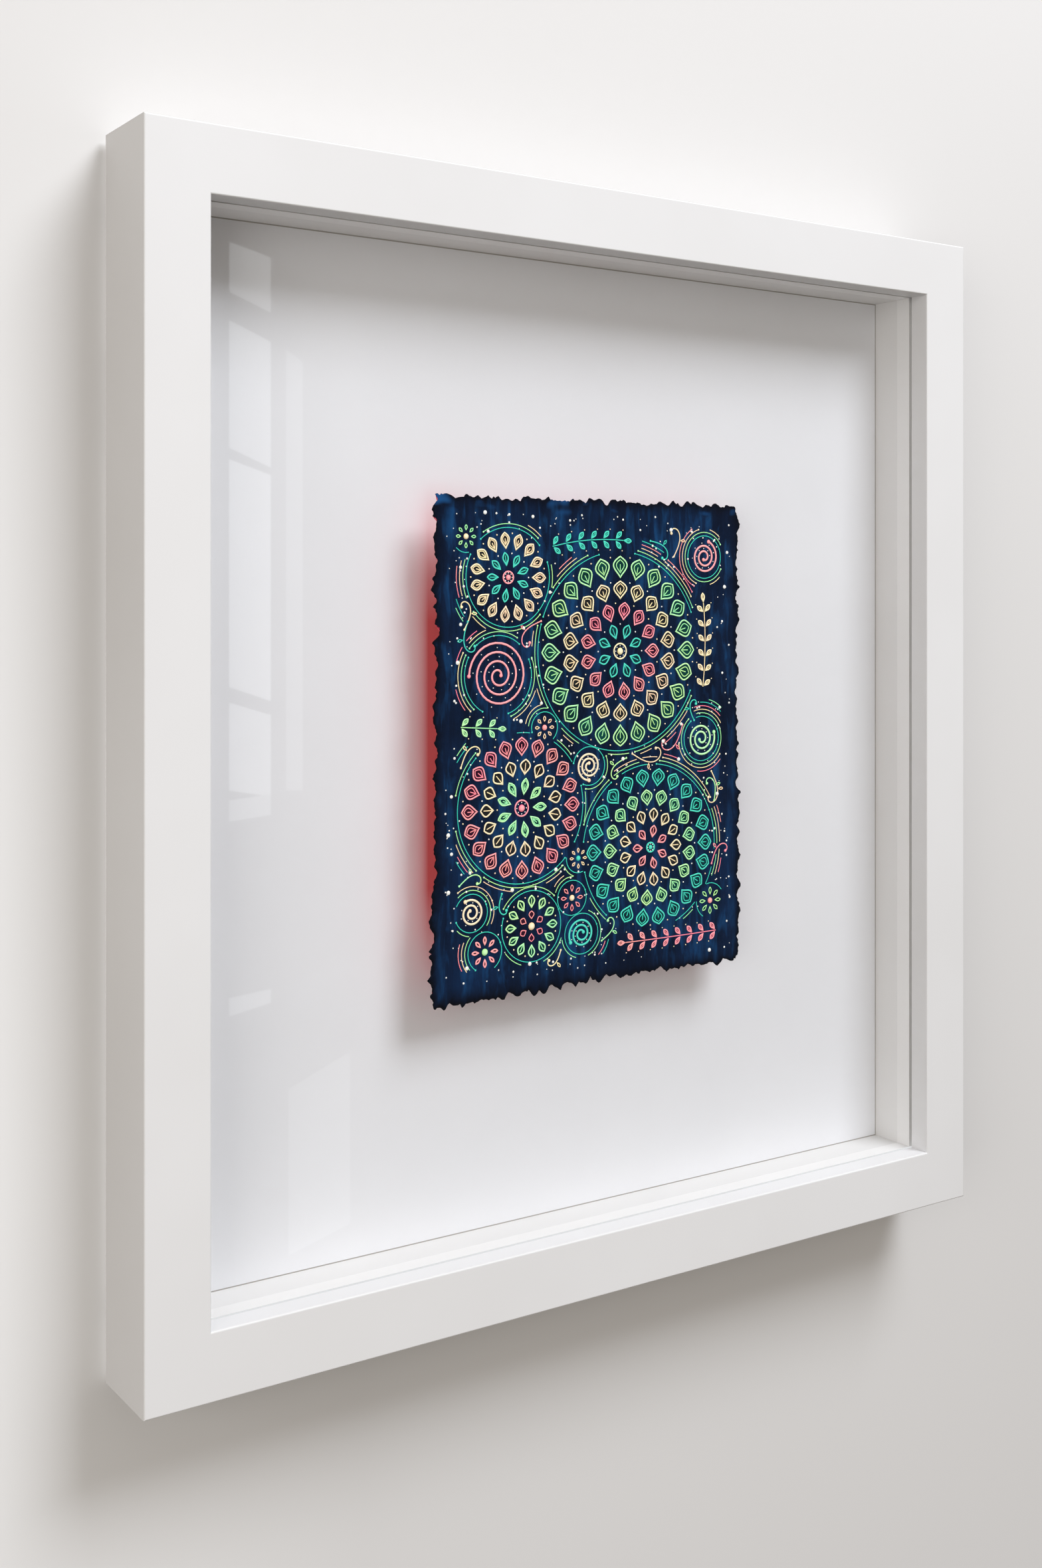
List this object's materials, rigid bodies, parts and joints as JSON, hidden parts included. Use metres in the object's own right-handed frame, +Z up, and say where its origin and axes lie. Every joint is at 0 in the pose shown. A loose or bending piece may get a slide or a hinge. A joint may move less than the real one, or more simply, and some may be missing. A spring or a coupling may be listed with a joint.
{
  "type": "framed drawing",
  "caption": "Deep white box frame with glass, spacers and mount board, holding a deckle-edged sheet of handmade paper, painted dark with fine coloured figures, floated off the board.",
  "frame": {"origin": "middle of the footprint on the underside of the bottom rail, half way through the depth with the back pads", "axes": "+Z up the picture, -Y out of the glass towards the viewer, +X to the right seen from the front"},
  "size_m": [0.508, 0.049, 0.559],
  "materials": {
    "painted_rail": "white satin paint on wood",
    "pane": "clear polished picture glass",
    "spacer_strip": "matte white board",
    "white_board": "matte white mount board",
    "foam_board": "matte white foam board",
    "hinge_paper": "thin long-fibred paper",
    "painted_paper": "dark blue paint on rough handmade paper, pink on the reverse",
    "pink_ink": "matte paint line",
    "cream_ink": "matte paint line",
    "green_ink": "matte paint line",
    "teal_ink": "matte paint line",
    "white_ink": "matte paint dots",
    "hardboard": "bare brown hardboard",
    "zinc_steel": "zinc plated steel",
    "pad_rubber": "soft dark rubber"
  },
  "bodies": {
    "root": {"rail_top": "painted_rail", "rail_bottom": "painted_rail", "rail_left": "painted_rail", "rail_right": "painted_rail", "glazing": "pane", "spacer_top": "spacer_strip", "spacer_bottom": "spacer_strip", "spacer_left": "spacer_strip", "spacer_right": "spacer_strip", "mount_board": "white_board", "backing_board": "hardboard", "riser_back": "foam_board", "riser_front": "foam_board", "hinge_top_left": "hinge_paper", "hinge_top_right": "hinge_paper", "hinge_bottom_left": "hinge_paper", "hinge_bottom_right": "hinge_paper", "paper_sheet": "painted_paper", "ink_pink": "pink_ink", "ink_cream": "cream_ink", "ink_green": "green_ink", "ink_teal": "teal_ink", "ink_white": "white_ink", "v_nails": "zinc_steel", "framer_points": "zinc_steel", "hanger_left": "zinc_steel", "hanger_right": "zinc_steel", "hanger_screws": "zinc_steel", "bumper_top_left": "pad_rubber", "bumper_top_right": "pad_rubber", "bumper_bottom_left": "pad_rubber", "bumper_bottom_right": "pad_rubber"}
  },
  "joints": []
}
